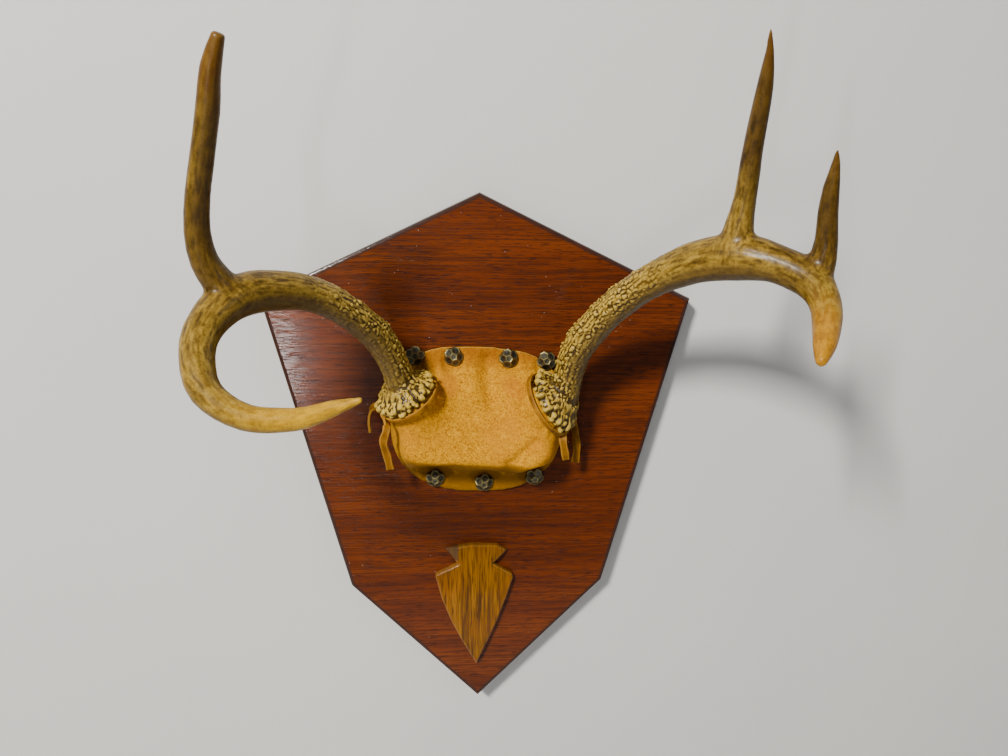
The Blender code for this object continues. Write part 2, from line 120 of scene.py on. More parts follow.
# Antler relief: the size of its patterns across and along a branch, then how deep they go
GRAIN_SIZE = (1.4, 7)
PEARL_SIZE = (2.3, 3.3)
SWELL_SIZE = 15
GRAIN_DEPTH = (0.07, 0.22, 0.3)  # everywhere, then added on rough bone, then on the burr
PEARL_DEPTH = 1.25
PEARL_FOOT = 0.3  # the share of that depth by which the bone between pearls is sunk
SWELL_DEPTH = 0.35
BLEND_REACH = 2.2  # over which one branch's patterns give way to the next one's
WEAR_ROUNDS = 10  # of blurring, against which ridges and hollows are told apart
WEAR_GAIN = 2.2  # per millimetre

# Leather: folds as start, end, half width and height, and faint red patches as x, z, radius
FOLDS = (
    ((5, 68), (7, 43), 4.2, -2.6),
    ((-5, 62), (-4, 47), 5.0, 1.5),
    ((17, 62), (18, 50), 5.5, 1.3),
    ((18, 8), (33, 22), 3.2, -2.4),
    ((25, 3), (40, 14), 3.4, 1.4),
    ((-30, 2), (-12, 6), 3.0, -0.6),
    ((-2, 24), (10, 28), 8.0, -0.9),
)
FLUSHES = ((-19, 53, 9), (20, 52, 9))
LEATHER_THICKNESS = 1.3
SHEET_VOXEL = 1.45
SOFTENING_ROUNDS = 100
GATHER_WAVES = ((13, 0, 1.0), (21, 1.3, 0.6))  # number round a collar, start and share
GATHER_DEPTH = 0.28
RIPPLE_SIZE = 9
RIPPLE_DEPTH = 0.3
DIMPLE_REACH = 16
DIMPLE_SINK = 0.4  # how far below a nail's seat the leather is pressed
DIMPLE_SLOPE = (0.55, 1.3)  # how fast it rises with distance, and the power of that rise

# Nails: places as x, z and lean in degrees on the board's face
TOP_NAILS = ((-40, 70.5, -4), (-16, 70, -4), (18.5, 68.7, -4), (42.3, 67, -4))
BOTTOM_NAILS = ((-28, -9.6, 12), (3.4, -13, 8), (36.3, -9.6, 14))
NAIL_RADIUS = 6.35
NAIL_HEIGHT = 4
NAIL_SEAT = 3
# A head is the top of a 20-sided ball of radius 1 with its corners cut off
PANEL_CORNER = 0.3505  # a third of that ball's edge
PANEL_CUT = 0.4  # how high across the ball the head's rim is cut
RIDGE_WIDTH = 0.028
PANEL_SLOPE = 0.06
PANEL_DEPTH = 0.024

# Arrowhead: each ear slopes back beyond a line across it, as x of the line and depth at the tip
EAR_CHIPS = ((-13.4, 4.2), (13.5, 1.6))
EAR_FOOT = -66

# Hanger: the slot of each screw, as width, twice the depth, and length
SCREW_SLOT = (0.9, 1.4, 10)

# Laces: the flat thong tied under each burr
LACE_WIDTH = 5
LACE_THICKNESS = 1.5
LACE_SETBACK = 2.5  # below the burr
LACE_GAP = 0.4  # off the collar
LACE_RISE = 1.8  # how much further out the turn ends than it starts
LACE_OVERLAP = math.radians(20)
LACE_TURN_STEPS = 20
LACE_STEP = 1.2
LACE_COLUMNS = 4
LACE_CUP = 0.25  # how deep the thong is dished across its width
WRAPPED_SHARE = 0.34  # of the route, on either side of its middle, that lies on the collar
WRAPPED_WIDTH = 0.56  # the share of the width that is left there, pulled tight
LOOSE_WIDTH = (0.86, 0.12, 0.35)  # least share of the width, how much it varies and how often


# Making and finishing shapes


def only(*things):
    """Selects these objects and nothing else, the first of them active."""
    bpy.ops.object.select_all(action="DESELECT")
    for thing in things:
        thing.select_set(True)
    bpy.context.view_layer.objects.active = things[0]


@contextmanager
def editing(piece):
    """Edit mode on one piece, with all of it selected."""
    only(piece)
    bpy.ops.object.mode_set(mode="EDIT")
    bpy.ops.mesh.select_all(action="SELECT")
    yield
    bpy.ops.object.mode_set(mode="OBJECT")


def placed(name, data):
    """A new object with this data, in the scene."""
    thing = bpy.data.objects.new(name, data)
    bpy.context.scene.collection.objects.link(thing)
    return thing


def basic(operator, **sizes):
    """The new piece that one of the operators for basic shapes adds."""
    bpy.ops.object.select_all(action="DESELECT")
    operator(**sizes)
    return bpy.context.object


def work(piece, kind, **settings):
    """Adds a modifier to a piece and applies it."""
    only(piece)
    step = piece.modifiers.new(kind.title(), kind)
    for name, value in settings.items():
        setattr(step, name, value)
    bpy.ops.object.modifier_apply(modifier=step.name)


def remesh(piece, voxel):
    """Rebuilds a piece's skin from cubes of this size in millimetres."""
    work(piece, "REMESH", mode="VOXEL", voxel_size=voxel * MM)


def smooth(piece, rounds, **settings):
    work(piece, "SMOOTH", factor=0.5, iterations=rounds, **settings)


def tidy_mesh(piece):
    """Merges a piece's doubled corners and turns its faces outwards."""
    with editing(piece):
        bpy.ops.mesh.remove_doubles(threshold=0.01 * MM)
        bpy.ops.mesh.normals_make_consistent(inside=False)


def merge_flats(piece):
    """Turns triangles that lie in one plane into one face."""
    with editing(piece):
        bpy.ops.mesh.dissolve_limited(angle_limit=math.radians(0.5))


def from_frame(name, *nodes):
    """A merged copy of some of the frame's solids, as one new piece."""
    copies = [placed(name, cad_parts[node].data.copy()) for node in nodes]
    for copy in copies:
        copy.data.materials.clear()
    only(*copies)
    if len(copies) > 1:
        bpy.ops.object.join()
    tidy_mesh(copies[0])
    return copies[0]


def smooth_shade(piece, degrees=180):
    """Smooth shading, with edges sharper than this angle left hard."""
    only(piece)
    if degrees >= 180:
        bpy.ops.object.shade_smooth()
    else:
        bpy.ops.object.shade_smooth_by_angle(angle=math.radians(degrees))


def finish_piece(piece, surface, slot, *nodes):
    """Gives a piece its surface, unless it has one, and has it stand for its CAD nodes."""
    if surface is not None:
        piece.data.materials.clear()
        piece.data.materials.append(surface)
    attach(piece, "root")
    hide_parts(*nodes)


def numbers_of(things, field, width, kind=np.float32):
    """A field of a mesh's corners or edges, a row for each."""
    flat = np.empty(len(things) * width, kind)
    things.foreach_get(field, flat)
    return flat.reshape(-1, width)


def places_of(piece):
    """A piece's corners in millimetres."""
    return numbers_of(piece.data.vertices, "co", 3).astype(float) / MM


def set_places(piece, places):
    """Moves a piece's corners to places in millimetres."""
    piece.data.vertices.foreach_set("co", (places * MM).astype(np.float32).ravel())
    piece.data.update()


def normals_of(piece):
    """The direction that each corner faces."""
    return numbers_of(piece.data.vertices, "normal", 3).astype(float)


def distances(places, point):
    """How far each place is from a point."""
    return np.linalg.norm(places - np.array(point), axis=1)


def blurred(values, edges, rounds):
    """Values averaged over their neighbours, again and again."""
    size = len(values)
    first, second = edges[:, 0], edges[:, 1]
    count = np.bincount(edges.ravel(), minlength=size)[:, None]
    for _ in range(rounds):
        total = np.empty_like(values)
        for k in range(values.shape[1]):
            total[:, k] = np.bincount(first, weights=values[second, k], minlength=size)
            total[:, k] += np.bincount(second, weights=values[first, k], minlength=size)
        values = (values + total) / (count + 1)
    return values


def keep_as(piece, name, values):
    """Stores one number for each corner, for the material to read."""
    stored = piece.data.attributes.new(name, "FLOAT", "POINT")
    stored.data.foreach_set("value", np.asarray(values, np.float32))


def ease(values, low, high):
    """0 below low, 1 above high, and smooth in between; high may be the lower one."""
    t = np.clip((values - low) / (high - low), 0, 1)
    return t * t * (3 - 2 * t)


def weigh(piece, name, weights):
    """A vertex group with a weight for each corner, in hundredths."""
    group = piece.vertex_groups.new(name=name)
    steps = np.round(np.clip(weights, 0, 1) * 100).astype(int)
    for step in np.unique(steps[steps > 0]):
        group.add(np.flatnonzero(steps == step).tolist(), step / 100, "REPLACE")
    return name


def smooth_path(points, step):
    """Samples about a step apart on one smooth curve through points of any size."""
    rows = [Vector(p) for p in points]
    ends = [2 * rows[0] - rows[1], *rows, 2 * rows[-1] - rows[-2]]
    samples = []
    for a, b, c, d in zip(ends, ends[1:], ends[2:], ends[3:]):
        count = max(1, round((c - b).length / step))
        for i in range(count):
            t = i / count
            bend = (2 * a - 5 * b + 4 * c - d) * t**2 + (3 * b - a - 3 * c + d) * t**3
            samples.append((2 * b + (c - a) * t + bend) / 2)
    samples.append(rows[-1])
    return samples


# Materials


class Surface:
    """A material, put together a node at a time."""

    def __init__(self, name, **basics):
        self.material = bpy.data.materials.new(name)
        self.material.use_nodes = True
        self.tree = self.material.node_tree
        self.shader = self.tree.nodes["Principled BSDF"]
        for socket, value in basics.items():
            self.shader.inputs[socket.replace("_", " ")].default_value = value
        self.place = self.add("TexCoord").outputs["Object"]
        self.colour = None

    def add(self, kind, inputs=(), **settings):
        node = self.tree.nodes.new("ShaderNode" + kind)
        for name, value in settings.items():
            setattr(node, name, value)
        for socket, value in dict(inputs).items():
            self.feed(node.inputs[socket], value)
        return node

    def feed(self, socket, value):
        if isinstance(value, bpy.types.NodeSocket):
            self.tree.links.new(value, socket)
        else:
            socket.default_value = value

    def stretched(self, scale, vector=None):
        """The piece's own coordinates in metres, or a vector, times a scale along each axis."""
        node = self.add("Mapping", {"Vector": vector or self.place, "Scale": scale})
        return node.outputs["Vector"]

    def apart(self):
        """The piece's own coordinates in metres, as X, Y and Z."""
        return self.add("SeparateXYZ", {"Vector": self.place}).outputs

    def noise(self, scale, detail=3, roughness=0.5, vector=None, distortion=0.0):
        sockets = ("Vector", "Scale", "Detail", "Roughness", "Distortion")
        values = (vector or self.place, scale, detail, roughness, distortion)
        return self.add("TexNoise", zip(sockets, values)).outputs["Fac"]

    def cells(self, scale, output="Distance"):
        return self.add("TexVoronoi", {"Vector": self.place, "Scale": scale}).outputs[output]

    def stored(self, name):
        return self.add("Attribute", attribute_name=name).outputs["Fac"]

    def ramp(self, value, *stops):
        """A colour for each value, from (value, colour) stops."""
        node = self.add("ValToRGB", {"Fac": value})
        elements = node.color_ramp.elements
        while len(elements) < len(stops):
            elements.new(0.5)
        for element, (at, colour) in zip(elements, stops):
            element.position = at
            element.color = (*colour, 1)
        return node.outputs["Color"]

    def span(self, value, low, high, to_low=0.0, to_high=1.0):
        """A value moved from one range to another, and held at its ends."""
        sockets = ("Value", "From Min", "From Max", "To Min", "To Max")
        values = (value, low, high, to_low, to_high)
        return self.add("MapRange", zip(sockets, values)).outputs["Result"]

    def tint(self, other, share, most=None):
        """Draws the colour towards another by a share, or by that share of the most it may be."""
        node = self.add("Mix", data_type="RGBA")
        if most is not None:
            share = self.times(share, most)
        # Of this node's sockets, 0 is the share, and 6 and 7 are the two colours
        for socket, value in ((0, share), (6, self.colour), (7, other)):
            self.feed(node.inputs[socket], (*value, 1) if isinstance(value, tuple) else value)
        self.colour = node.outputs[2]

    def maths(self, operation, first, second=0.0):
        node = self.add("Math", {0: first, 1: second}, operation=operation)
        return node.outputs["Value"]

    def times(self, first, second):
        return self.maths("MULTIPLY", first, second)

    def facing_back(self):
        """How much a surface faces the wall: 1 on the back, 0 on the sides, -1 on the front."""
        normal = self.add("NewGeometry").outputs["True Normal"]
        return self.add("SeparateXYZ", {"Vector": normal}).outputs["Y"]

    def bump(self, height, depth, strength, over=None):
        """Relief of this depth in millimetres, over another relief if one is given."""
        inputs = {"Height": height, "Distance": depth * MM, "Strength": strength}
        if over is not None:
            inputs["Normal"] = over
        return self.add("Bump", inputs).outputs["Normal"]

    def paint(self, **finish):
        """Links the shader's colour, and its roughness, normal and the like."""
        self.feed(self.shader.inputs["Base Color"], self.colour)
        for socket, value in finish.items():
            self.feed(self.shader.inputs[socket.replace("_", " ")], value)
        return self.material


def mahogany():
    """Red-brown veneer with its grain across the board, under a semi-gloss varnish."""
    light, middle, dark = (0.155, 0.032, 0.002), (0.118, 0.021, 0.0015), (0.082, 0.014, 0.001)
    fibre, pore, edge = (0.036, 0.0065, 0.001), (0.014, 0.003, 0.001), (0.02, 0.011, 0.009)
    raw_dark, raw_light, dust_grey = (0.22, 0.12, 0.06), (0.34, 0.2, 0.1), (0.5, 0.45, 0.4)
    s = Surface("mahogany_veneer", Coat_Weight=0.4, Coat_Roughness=0.13, Specular_IOR_Level=0.1)
    drift = s.add("TexNoise", {"Vector": s.stretched((7, 3, 22)), "Scale": 1.0, "Detail": 2})
    shift = s.add("VectorMath", {0: drift.outputs["Color"], "Scale": 0.006}, operation="SCALE")
    wavy = s.add("VectorMath", {0: s.place, 1: shift.outputs["Vector"]}, operation="ADD")
    wavy = wavy.outputs["Vector"]
    bands = s.noise(1, 3, 0.6, s.stretched((5, 20, 60), wavy))
    fibres = s.noise(1, 5, 0.62, s.stretched((26, 200, 1000), wavy))
    dashes = s.noise(1, 2, 0.5, s.stretched((125, 300, 1700), wavy))
    pores = s.span(dashes, 0.54, 0.64)
    s.colour = s.ramp(bands, (0.28, dark), (0.48, middle), (0.72, light))
    s.tint(fibre, s.span(fibres, 0.42, 0.62, 0, 0.72))
    s.tint(pore, pores, 0.65)
    turned = s.facing_back()
    s.tint(edge, s.span(s.maths("ABSOLUTE", turned), 0.985, 0.955), 0.9)
    back = s.span(turned, 0.6, 0.9)
    s.tint(s.ramp(fibres, (0.3, raw_dark), (0.7, raw_light)), back)
    specks = s.maths("LESS_THAN", s.cells(230), 0.05)
    drifts = s.span(s.noise(22, 2), 0.52, 0.62)
    dust = s.times(s.times(specks, drifts), s.span(turned, -0.8, -0.95))
    s.tint(dust_grey, dust)
    rough = s.span(fibres, 0.3, 0.7, 0.36, 0.5)
    rough = s.maths("MAXIMUM", rough, s.times(back, 0.8))
    rough = s.maths("MAXIMUM", rough, s.times(dust, 0.9))
    relief = s.bump(pores, -0.1, 0.5)
    relief = s.bump(fibres, 0.1, 0.6, relief)
    varnish = s.bump(s.noise(1, 3, 0.6, s.stretched((60, 200, 420), wavy)), 0.12, 0.45)
    varnish = s.bump(pores, -0.06, 0.4, varnish)
    return s.paint(Roughness=rough, Normal=relief, Coat_Normal=varnish)


def oak():
    """Golden oak with upright grain, glossy varnish, paler cut edges and a painted dark
    reflection on its left ear.
    """
    light, middle, dark = (0.25, 0.1, 0.002), (0.15, 0.056, 0.001), (0.06, 0.02, 0.001)
    cloud, line = (0.24, 0.068, 0.005), (0.045, 0.013, 0.001)
    edge, painted_ear_shade = (0.42, 0.22, 0.05), (0.06, 0.03, 0.012)
    s = Surface("golden_oak", Coat_Weight=0.35, Coat_Roughness=0.1, Specular_IOR_Level=0.12)
    streaks = s.noise(1, 4, 0.6, s.stretched((620, 80, 24)), distortion=0.5)
    fine = s.noise(1, 3, 0.5, s.stretched((1900, 200, 80)))
    s.colour = s.ramp(streaks, (0.34, dark), (0.47, middle), (0.62, light))
    s.tint(cloud, s.span(s.noise(38, 3), 0.45, 0.7, 0, 0.45))
    s.tint(line, s.span(fine, 0.52, 0.64, 0, 0.8))
    s.tint(edge, s.span(s.facing_back(), -0.95, -0.8), 0.15)
    # Painted reflection: the facet beyond the chip line on the left ear is darkened, as if it
    # mirrored dark surroundings.
    spot = s.apart()
    ear = s.maths("LESS_THAN", spot["X"], EAR_CHIPS[0][0] * MM)
    ear = s.times(ear, s.maths("GREATER_THAN", spot["Z"], EAR_FOOT * MM))
    s.tint(painted_ear_shade, ear, 0.8)
    rough = s.span(streaks, 0.3, 0.7, 0.42, 0.3)
    relief = s.bump(s.span(fine, 0.5, 0.7), -0.1, 0.5)
    relief = s.bump(streaks, 0.12, 0.4, relief)
    varnish = s.bump(s.noise(1, 3, 0.5, s.stretched((300, 100, 60))), 0.15, 0.35)
    return s.paint(Roughness=rough, Normal=relief, Coat_Normal=varnish)


def suede():
    """Golden tan suede: speckled nap, browner at the top hem, and smoother low down and on
    downward faces, where painted shade darkens it.
    """
    light, middle, dark = (0.62, 0.29, 0.003), (0.5, 0.22, 0.002), (0.38, 0.155, 0.001)
    hollow, fibre, cloud = (0.2, 0.066, 0.003), (0.72, 0.38, 0.01), (0.42, 0.155, 0.01)
    soil, flush = (0.22, 0.058, 0.005), (0.42, 0.12, 0.012)
    handled_and_shaded, cut = (0.155, 0.064, 0.003), (0.6, 0.34, 0.05)
    s = Surface("tan_suede", Sheen_Weight=0.05, Sheen_Roughness=0.4, Specular_IOR_Level=0.04)
    s.shader.inputs["Sheen Tint"].default_value = (1.0, 0.72, 0.3, 1)
    nap = s.noise(980, 4, 0.75)
    mottle = s.noise(360, 4, 0.65)
    smooth = s.stored("rubbed")
    s.colour = s.ramp(mottle, (0.3, dark), (0.5, middle), (0.7, light))
    s.tint(hollow, s.span(nap, 0.51, 0.62, 0, 0.85))
    s.tint(fibre, s.span(nap, 0.46, 0.36, 0, 0.5))
    s.tint(cloud, s.span(s.noise(30, 3, 0.55), 0.5, 0.7, 0, 0.5))
    s.tint(soil, s.stored("soil"), 0.75)
    s.tint(flush, s.stored("flush"), 0.4)
    # Painted shade: the suede stored as rubbed, low on the dome and on its downward faces, is
    # darkened.
    s.tint(handled_and_shaded, smooth, 0.88)
    s.tint(cut, s.stored("cut"), 0.8)
    rough = s.span(smooth, 0, 1, 0.92, 0.62)
    relief = s.bump(nap, 0.35, s.span(smooth, 0, 1, 0.6, 0.15))
    relief = s.bump(mottle, 0.6, s.span(smooth, 0, 1, 0.45, 0.1), relief)
    return s.paint(Roughness=rough, Normal=relief)


def thong_leather():
    """The lace: smooth brown leather with paler cut edges."""
    light, middle, dark = (0.35, 0.155, 0.004), (0.22, 0.088, 0.002), (0.1, 0.035, 0.001)
    crease, cut = (0.09, 0.026, 0.003), (0.46, 0.22, 0.025)
    s = Surface("lace_leather", Specular_IOR_Level=0.12)
    grain = s.noise(1400, 3, 0.6)
    s.colour = s.ramp(s.noise(110, 3), (0.3, dark), (0.52, middle), (0.75, light))
    s.tint(crease, s.span(grain, 0.5, 0.7, 0, 0.4))
    s.tint(cut, s.stored("cut"), 0.6)
    rough = s.span(grain, 0.3, 0.7, 0.45, 0.65)
    return s.paint(Roughness=rough, Normal=s.bump(grain, 0.12, 0.5))


def bone():
    """Antler under varnish: dark in its grooves, pale on its pearls, ivory or amber at tips, with
    painted shade on its undersides and partly on its tines.
    """
    light, middle, dark = (0.26, 0.16, 0.02), (0.135, 0.075, 0.006), (0.056, 0.029, 0.002)
    streak, groove, pit = (0.06, 0.029, 0.004), (0.026, 0.014, 0.003), (0.045, 0.024, 0.004)
    pearl, crown = (0.5, 0.34, 0.06), (0.52, 0.34, 0.04)
    under, rust = (0.05, 0.024, 0.003), (0.1, 0.038, 0.002)
    umber_dark, umber_light = (0.026, 0.012, 0.001), (0.08, 0.038, 0.003)
    ivory_dark, ivory_light = (0.27, 0.135, 0.001), (0.47, 0.255, 0.002)
    amber_dark, amber_light = (0.27, 0.11, 0.002), (0.44, 0.2, 0.005)
    s = Surface("antler", Coat_Weight=0.22, Coat_Roughness=0.27, Specular_IOR_Level=0.1)
    wear, grain, pearled = s.stored("wear"), s.stored("grain"), s.stored("pearled")
    fine = s.noise(900, 4, 0.65)
    tone = s.maths("ADD", s.times(grain, 0.42), s.times(s.noise(190, 5, 0.65), 0.58))
    s.colour = s.ramp(tone, (0.34, dark), (0.47, middle), (0.62, light))
    s.tint(streak, s.span(grain, 0.42, 0.24, 0, 0.28))
    s.tint(pearl, s.times(s.span(wear, 0.5, 0.72), pearled), 0.85)
    s.tint(groove, s.times(s.span(wear, 0.47, 0.27), pearled), 0.92)
    s.tint(crown, s.times(s.stored("crown"), s.span(wear, 0.36, 0.6)), 0.8)
    # Painted shade: faces that turn downwards or to the right are darkened.
    s.tint(under, s.stored("under"), 0.78)
    umber_and_shade = s.ramp(tone, (0.36, umber_dark), (0.6, umber_light))
    ivory = s.ramp(tone, (0.34, ivory_dark), (0.58, ivory_light))
    amber = s.ramp(tone, (0.34, amber_dark), (0.58, amber_light))
    # The tines' darker brown here is partly their own colour and partly painted shade.
    s.tint(umber_and_shade, s.stored("umber_and_shade"), 0.95)
    s.tint(ivory, s.stored("ivory"))
    s.tint(amber, s.stored("amber"))
    s.tint(rust, s.stored("rust"))
    s.tint(pit, s.span(fine, 0.53, 0.7, 0, 0.55))
    rough = s.span(s.noise(420, 2), 0.3, 0.7, 0.38, 0.55)
    relief = s.bump(grain, 0.2, 0.4, s.bump(fine, 0.2, 0.5))
    return s.paint(Roughness=rough, Normal=relief)


def bronze(name, colour, worn, roughness):
    """Cast nail metal: a patina with a little of the brighter metal rubbed through."""
    s = Surface(name, Metallic=1.0)
    s.colour = colour
    patches = s.noise(700, 4, 0.6)
    s.tint(worn, s.span(patches, 0.48, 0.68))
    rough = s.span(patches, 0.3, 0.7, roughness, roughness + 0.18)
    relief = s.bump(s.noise(1500, 2), 0.12, 0.5)
    return s.paint(Roughness=rough, Normal=relief)


def zinc():
    """Zinc-plated steel with the plating's soft spangle and fine scratches."""
    light, dark = (0.6, 0.6, 0.58), (0.42, 0.42, 0.41)
    s = Surface("zinc_plate", Metallic=1.0)
    spangle = s.add("SeparateColor", {"Color": s.cells(420, "Color")}).outputs[0]
    scratches = s.noise(1, 3, 0.6, s.stretched((90, 900, 2400)))
    s.colour = s.ramp(spangle, (0.1, dark), (0.9, light))
    rough = s.span(scratches, 0.3, 0.7, 0.28, 0.5)
    return s.paint(Roughness=rough, Normal=s.bump(scratches, 0.06, 0.4))


# Camera, light and backdrop


def camera():
    data = bpy.data.cameras.new("camera")
    data.sensor_width = SENSOR_WIDTH
    data.lens = LENS
    data.clip_start = 0.01
    eye = placed("camera", data)
    heading = Matrix.Rotation(math.radians(-HEADING), 4, "Z")
    tilt = Matrix.Rotation(math.radians(90 - TILT), 4, "X")
    roll = Matrix.Rotation(math.radians(ROLL), 4, "Z")
    eye.matrix_world = Matrix.Translation(EYE) @ heading @ tilt @ roll
    bpy.context.scene.camera = eye


def lamp(name, place, target, size, power, colour=(1, 1, 1)):
    """A soft rectangular light, in metres and watts, turned to its target."""
    data = bpy.data.lights.new(name, "AREA")
    data.shape = "RECTANGLE"
    data.size, data.size_y = size
    data.energy = power
    data.color = colour
    light = placed(name, data)
    light.location = place
    light.rotation_euler = (Vector(target) - Vector(place)).to_track_quat("-Z", "Y").to_euler()


def lights():
    middle = (0, 0, 0.05)
    lamp("window", (-0.75, -1.35, 0.95), middle, (0.24, 0.24), 56, (1.0, 0.96, 0.88))
    lamp("fill", (1.3, -1.3, 0.5), middle, (1.0, 1.0), 4.5, (0.95, 0.97, 1.0))
    lamp("behind", (0.5, 1.5, 0.7), middle, (1.0, 1.0), 14)
    lamp("low_window", (-0.345, -1.07, -0.145), (-0.114, 0, 0.062), (0.03, 0.2), 1.6)
    world = bpy.data.worlds.new("room")
    bpy.context.scene.world = world
    world.use_nodes = True
    shade = world.node_tree.nodes["Background"]
    shade.inputs["Color"].default_value = (0.86, 0.88, 0.92, 1)
    shade.inputs["Strength"].default_value = 0.11


def wall_paper():
    """Pale paper that is clear from behind, and open where the board covers it."""
    dark, light = (0.55, 0.55, 0.55), (0.6, 0.6, 0.59)
    s = Surface("pale_paper", Roughness=0.9)
    s.colour = s.ramp(s.noise(3, 2), (0.3, dark), (0.7, light))
    s.paint()
    spot = s.apart()
    across = s.maths("ABSOLUTE", spot["X"])
    flat = s.add("CombineXYZ", {"X": across, "Z": spot["Z"]}).outputs["Vector"]
    covered = 1.0
    for (x0, z0), (x1, z1) in zip(BOARD_HALF, BOARD_HALF[1:]):
        out = Vector((z0 - z1, 0, x1 - x0)).normalized()
        reach = s.add("VectorMath", {0: flat, 1: out}, operation="DOT_PRODUCT").outputs["Value"]
        limit = (out.dot(Vector((x0, 0, z0))) - OPENING_INSET) * MM
        covered = s.times(s.maths("LESS_THAN", reach, limit), covered)
    behind = s.add("NewGeometry").outputs["Backfacing"]
    unseen = s.maths("MAXIMUM", behind, covered)
    clear = s.add("BsdfTransparent").outputs["BSDF"]
    chosen = s.add("MixShader", {0: unseen, 1: s.shader.outputs["BSDF"], 2: clear})
    s.tree.links.new(chosen.outputs["Shader"], s.tree.nodes["Material Output"].inputs["Surface"])
    return s.material


def backdrop(surface):
    """A pale wall that sweeps down to a pale floor, and lets light reach the board's back."""
    profile = [(WALL_GAP, WALL_TOP)]
    for i in range(SWEEP_STEPS + 1):
        angle = math.pi / 2 * i / SWEEP_STEPS
        out = SWEEP_RADIUS * (1 - math.cos(angle))
        rise = SWEEP_RADIUS * (1 - math.sin(angle))
        profile.append((WALL_GAP - out, FLOOR_HEIGHT + rise))
    profile.append((-FLOOR_REACH, FLOOR_HEIGHT))
    last = len(profile) - 1
    grid = bpy.ops.mesh.primitive_grid_add
    paper = basic(grid, x_subdivisions=1, y_subdivisions=last, size=2)
    paper.name = "backdrop"
    for corner in paper.data.vertices:
        row = round((corner.co.y + 1) / 2 * last)
        corner.co = (-corner.co.x * WALL_HALF_WIDTH, *profile[row])
    paper.data.materials.append(surface)
    smooth_shade(paper)


# Antlers


def branch_line(points):
    """Samples down a branch: places, and three directions at each that turn with it."""
    centres = smooth_path(points, LINE_STEP)
    frames = []
    side = None
    for i in range(len(centres)):
        ahead = centres[min(i + 1, len(centres) - 1)] - centres[max(i - 1, 0)]
        ahead.normalize()
        side = ahead.orthogonal() if side is None else side
        side = (side - side.dot(ahead) * ahead).normalized()
        frames.append((side, ahead.cross(side), ahead))
    lengths = [(b - a).length for a, b in zip(centres, centres[1:])]
    along = np.concatenate([[0], np.cumsum(lengths)])
    return np.array(centres), np.array(frames), along


def straightened(places, line):
    """Where each place would be if the branch were straight, and its distance from the line."""
    centres, frames, along = line
    tree = KDTree(len(centres))
    for i, centre in enumerate(centres):
        tree.insert(centre, i)
    tree.balance()
    nearest = np.array([tree.find(place)[1] for place in places])
    offset = places - centres[nearest]
    spots = np.einsum("nij,nj->ni", frames[nearest], offset)
    spots[:, 2] += along[nearest]
    return spots, np.linalg.norm(offset, axis=1)


def beads(burr, seed):
    """The burr's crown of beads, each a lengthened ball, in rows that chance makes uneven."""
    centre, axis, size = burr
    upright = axis.to_track_quat("Z", "Y").to_matrix().to_4x4()
    place = Matrix.Translation(centre) @ upright
    draw = np.random.default_rng(seed)
    pattern = basic(bpy.ops.mesh.primitive_ico_sphere_add, subdivisions=2, radius=1)
    made = []
    for radius, height, number, halves in BEAD_ROWS:
        for i in range(number):
            turn = math.tau * (i + draw.uniform(-0.22, 0.22)) / number
            bulk = draw.uniform(0.72, 1.12)
            sizes = [h * bulk * draw.uniform(0.85, 1.12) * size for h in halves]
            reach = size * (radius + draw.uniform(-1.0, 0.6))
            lift = height + draw.uniform(-0.6, 0.6)
            bead = placed("bead", pattern.data.copy())
            shape = Matrix.Diagonal((*sizes, 1))
            tip = Matrix.Rotation(draw.uniform(-0.3, 0.3), 4, "Y")
            spot = Matrix.Rotation(turn, 4, "Z") @ Matrix.Translation((reach, 0, lift))
            bead.data.transform(Matrix.Scale(MM, 4) @ place @ spot @ tip @ shape)
            made.append(bead)
    bpy.data.objects.remove(pattern)
    return made


def burr_spots(places, burr):
    """Each place's radius from the burr's axis and height along it."""
    centre, axis, _ = burr
    offset = places - np.array(centre)
    height = offset @ np.array(axis)
    radius = np.linalg.norm(offset - height[:, None] * np.array(axis), axis=1)
    return radius, height, offset


def pattern_values(spots, rough, seed):
    """Pearls, lengthwise grain and slow swellings at each spot of a straightened branch."""
    shift = Vector((17.0 * seed, 5.0 * seed, 0))
    pearl, grain, swell = np.zeros((3, len(spots)))
    fine, long = GRAIN_SIZE
    wide, tall = PEARL_SIZE
    for i, (x, y, z) in enumerate(spots):
        spot = Vector((x, y, z)) + shift
        fibre = Vector((spot.x / fine, spot.y / fine, z / long))
        grain[i] = noise.fractal(fibre, 0.8, 2.1, 4)
        swell[i] = noise.noise(spot / SWELL_SIZE)
        if rough[i] > 0.01:
            bent = spot + 1.1 * noise.noise_vector(spot / 3)
            near, seeds = noise.voronoi(Vector((bent.x / wide, bent.y / wide, bent.z / tall)))
            height = 0.55 + 0.9 * noise.noise(seeds[0] * 7.3)
            pearl[i] = max(0, height) * min(1, (near[1] - near[0]) / 0.55)
    return pearl, grain, swell


def antler(side, lengths, lines, burr, forks, pearled, tones, crown, seed, surface):
    """One antler as a single skin: filled crotches, beaded burr, pearls, grain and tones.

    Its beam is pearled up to a first height and bare from a second, mostly on one side.
    """
    nodes = [f"{side}_{length}" for length in lengths]
    skin = from_frame(side + "_antler", *nodes)
    remesh(skin, SKIN_VOXEL)
    smooth(skin, 8)
    for fork in forks:
        near = ease(distances(places_of(skin), fork), FORK_REACH, FORK_REACH * 0.35)
        smooth(skin, FORK_ROUNDS, vertex_group=weigh(skin, "crotch", near))
        skin.vertex_groups.clear()
    set_places(skin, with_thin_rim(places_of(skin), burr))
    only(skin, *beads(burr, seed))
    bpy.ops.object.join()
    remesh(skin, FINE_VOXEL)
    smooth(skin, 4)
    relief_and_tones(skin, lines, burr, pearled, tones, crown, seed)
    smooth_shade(skin)
    finish_piece(skin, surface, "antler", *nodes)


